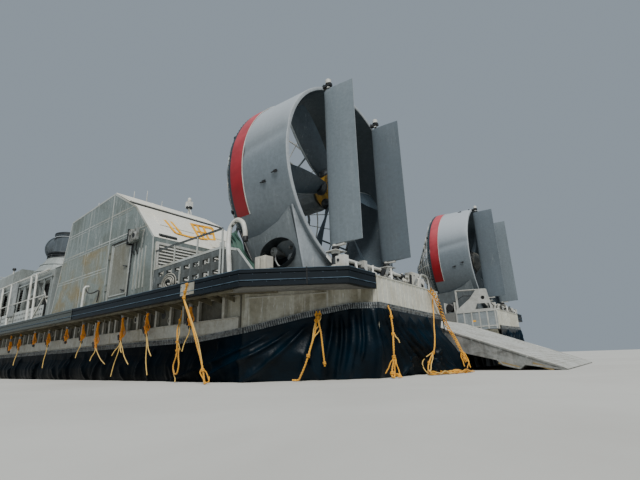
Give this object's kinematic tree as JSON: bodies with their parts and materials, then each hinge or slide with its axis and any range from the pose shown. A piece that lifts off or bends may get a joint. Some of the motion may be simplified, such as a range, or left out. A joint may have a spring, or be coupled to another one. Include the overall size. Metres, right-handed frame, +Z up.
{
  "type": "hovercraft",
  "caption": "Air-cushion landing craft with ducted propellers, steering rudders, a raised bow ramp and a lowered stern ramp.",
  "frame": {"origin": "on the ground under the middle of the craft's length and beam, ropes left out", "axes": "+X forward to the bow ramp, +Y to port, +Z up"},
  "size_m": [27.4195, 13.3197, 5.585],
  "materials": {
    "bare_aluminium": "weathered, welded, bare",
    "painted_grey": "satin",
    "deck_grey": "non-slip, matt",
    "white_paint": "satin",
    "navy_rubber": "matt, dusty",
    "skirt_rubber": "rubberised fabric, satin",
    "duct_composite": "painted composite, satin",
    "blade_composite": "painted composite, satin",
    "dark_metal": "matt",
    "yellow_rope": "laid rope"
  },
  "bodies": {
    "hull": {"hull_box": "bare_aluminium", "side_deck_port": "deck_grey", "side_deck_stbd": "deck_grey", "fender_port": "navy_rubber", "fender_stbd": "navy_rubber", "side_shell_port": "bare_aluminium", "side_shell_stbd": "bare_aluminium", "transom_port": "bare_aluminium", "transom_stbd": "bare_aluminium", "cargo_deck": "deck_grey", "skirt_stern_port": "skirt_rubber", "skirt_stern_stbd": "skirt_rubber", "skirt_side_port": "skirt_rubber", "skirt_side_stbd": "skirt_rubber", "skirt_bow": "skirt_rubber", "stern_seal": "skirt_rubber", "skirt_clamp_strip_port": "dark_metal", "skirt_clamp_strip_stbd": "dark_metal", "machinery_house_port": "bare_aluminium", "machinery_house_stbd": "bare_aluminium", "engines_port": "dark_metal", "engines_stbd": "dark_metal", "fan_house_port": "painted_grey", "fan_house_stbd": "painted_grey", "control_cabin_stbd": "painted_grey", "lookout_cabin_port": "painted_grey", "duct_port": "duct_composite", "duct_stbd": "duct_composite", "duct_pedestal_port": "duct_composite", "duct_pedestal_stbd": "duct_composite", "drive_frame_port": "white_paint", "drive_frame_stbd": "white_paint", "rudder_gear_port": "dark_metal", "rudder_gear_stbd": "dark_metal", "bulwark_rail_port": "bare_aluminium", "bulwark_rail_stbd": "bare_aluminium", "roof_mast": "white_paint", "winch_frame_port": "white_paint", "winch_frame_stbd": "white_paint", "rope_chamfer_long": "yellow_rope", "rope_chamfer_short": "yellow_rope", "rope_transom": "yellow_rope", "rope_corner_thin": "yellow_rope", "rope_corner_thick": "yellow_rope", "rope_deck_edge": "yellow_rope", "rope_side_loop": "yellow_rope"},
    "propeller_port": {"propeller_port": "blade_composite"},
    "propeller_stbd": {"propeller_stbd": "blade_composite"},
    "rudder_outer_port": {"rudder_outer_port": "duct_composite"},
    "rudder_outer_stbd": {"rudder_outer_stbd": "duct_composite"},
    "rudder_inner_port": {"rudder_inner_port": "duct_composite"},
    "rudder_inner_stbd": {"rudder_inner_stbd": "duct_composite"},
    "stern_ramp": {"stern_ramp": "bare_aluminium"},
    "bow_ramp": {"bow_ramp": "bare_aluminium"},
    "bow_thruster_port": {"bow_thruster_port": "painted_grey"},
    "bow_thruster_stbd": {"bow_thruster_stbd": "painted_grey"},
    "house_door_port": {"house_door_port": "bare_aluminium"},
    "house_door_stbd": {"house_door_stbd": "bare_aluminium"},
    "cabin_door_port": {"cabin_door_port": "painted_grey"},
    "cabin_door_stbd": {"cabin_door_stbd": "painted_grey"}
  },
  "joints": [
    {"name": "propeller_port_spin", "type": "hinge", "parent": "hull", "child": "propeller_port", "pos_m": [-10.4435, 4.386, 3.595], "axis": [1, 0, 0], "continuous": true},
    {"name": "rudder_outer_port_steer", "type": "hinge", "parent": "hull", "child": "rudder_outer_port", "pos_m": [-11.0935, 5.257, 3.595], "axis": [0, 0, 1], "range_deg": [-35, 35]},
    {"name": "rudder_inner_port_steer", "type": "hinge", "parent": "hull", "child": "rudder_inner_port", "pos_m": [-11.0935, 3.515, 3.595], "axis": [0, 0, 1], "range_deg": [-35, 35]},
    {"name": "bow_thruster_port_turn", "type": "hinge", "parent": "hull", "child": "bow_thruster_port", "pos_m": [1.4065, 5, 4.15], "axis": [0, 0, 1], "continuous": true},
    {"name": "house_door_port_swing", "type": "hinge", "parent": "hull", "child": "house_door_port", "pos_m": [-5.3135, 6.366, 2.4], "axis": [0, 0, -1], "range_deg": [0, 110]},
    {"name": "propeller_stbd_spin", "type": "hinge", "parent": "hull", "child": "propeller_stbd", "pos_m": [-10.4435, -4.386, 3.595], "axis": [1, 0, 0], "continuous": true},
    {"name": "rudder_outer_stbd_steer", "type": "hinge", "parent": "hull", "child": "rudder_outer_stbd", "pos_m": [-11.0935, -5.257, 3.595], "axis": [0, 0, 1], "range_deg": [-35, 35]},
    {"name": "rudder_inner_stbd_steer", "type": "hinge", "parent": "hull", "child": "rudder_inner_stbd", "pos_m": [-11.0935, -3.515, 3.595], "axis": [0, 0, 1], "range_deg": [-35, 35]},
    {"name": "bow_thruster_stbd_turn", "type": "hinge", "parent": "hull", "child": "bow_thruster_stbd", "pos_m": [1.4065, -5, 4.15], "axis": [0, 0, 1], "continuous": true},
    {"name": "house_door_stbd_swing", "type": "hinge", "parent": "hull", "child": "house_door_stbd", "pos_m": [-5.3135, -6.366, 2.4], "axis": [0, 0, 1], "range_deg": [0, 110]},
    {"name": "stern_ramp_hinge", "type": "hinge", "parent": "hull", "child": "stern_ramp", "pos_m": [-10.3635, 0, 1.2], "axis": [0, 1, 0], "range_deg": [0, 100]},
    {"name": "bow_ramp_hinge", "type": "hinge", "parent": "hull", "child": "bow_ramp", "pos_m": [12.8265, 0, 1.215], "axis": [0, 1, 0], "range_deg": [0, 94]},
    {"name": "cabin_door_port_swing", "type": "hinge", "parent": "hull", "child": "cabin_door_port", "pos_m": [6.6905, 5.394, 2.5], "axis": [0, 0, -1], "range_deg": [0, 110]},
    {"name": "cabin_door_stbd_swing", "type": "hinge", "parent": "hull", "child": "cabin_door_stbd", "pos_m": [6.1905, -5.394, 2.5], "axis": [0, 0, 1], "range_deg": [0, 110]}
  ],
  "couplings": [
    {"joint": "rudder_inner_port_steer", "follows": "rudder_outer_port_steer", "ratio": 1},
    {"joint": "rudder_inner_stbd_steer", "follows": "rudder_outer_stbd_steer", "ratio": 1}
  ]
}
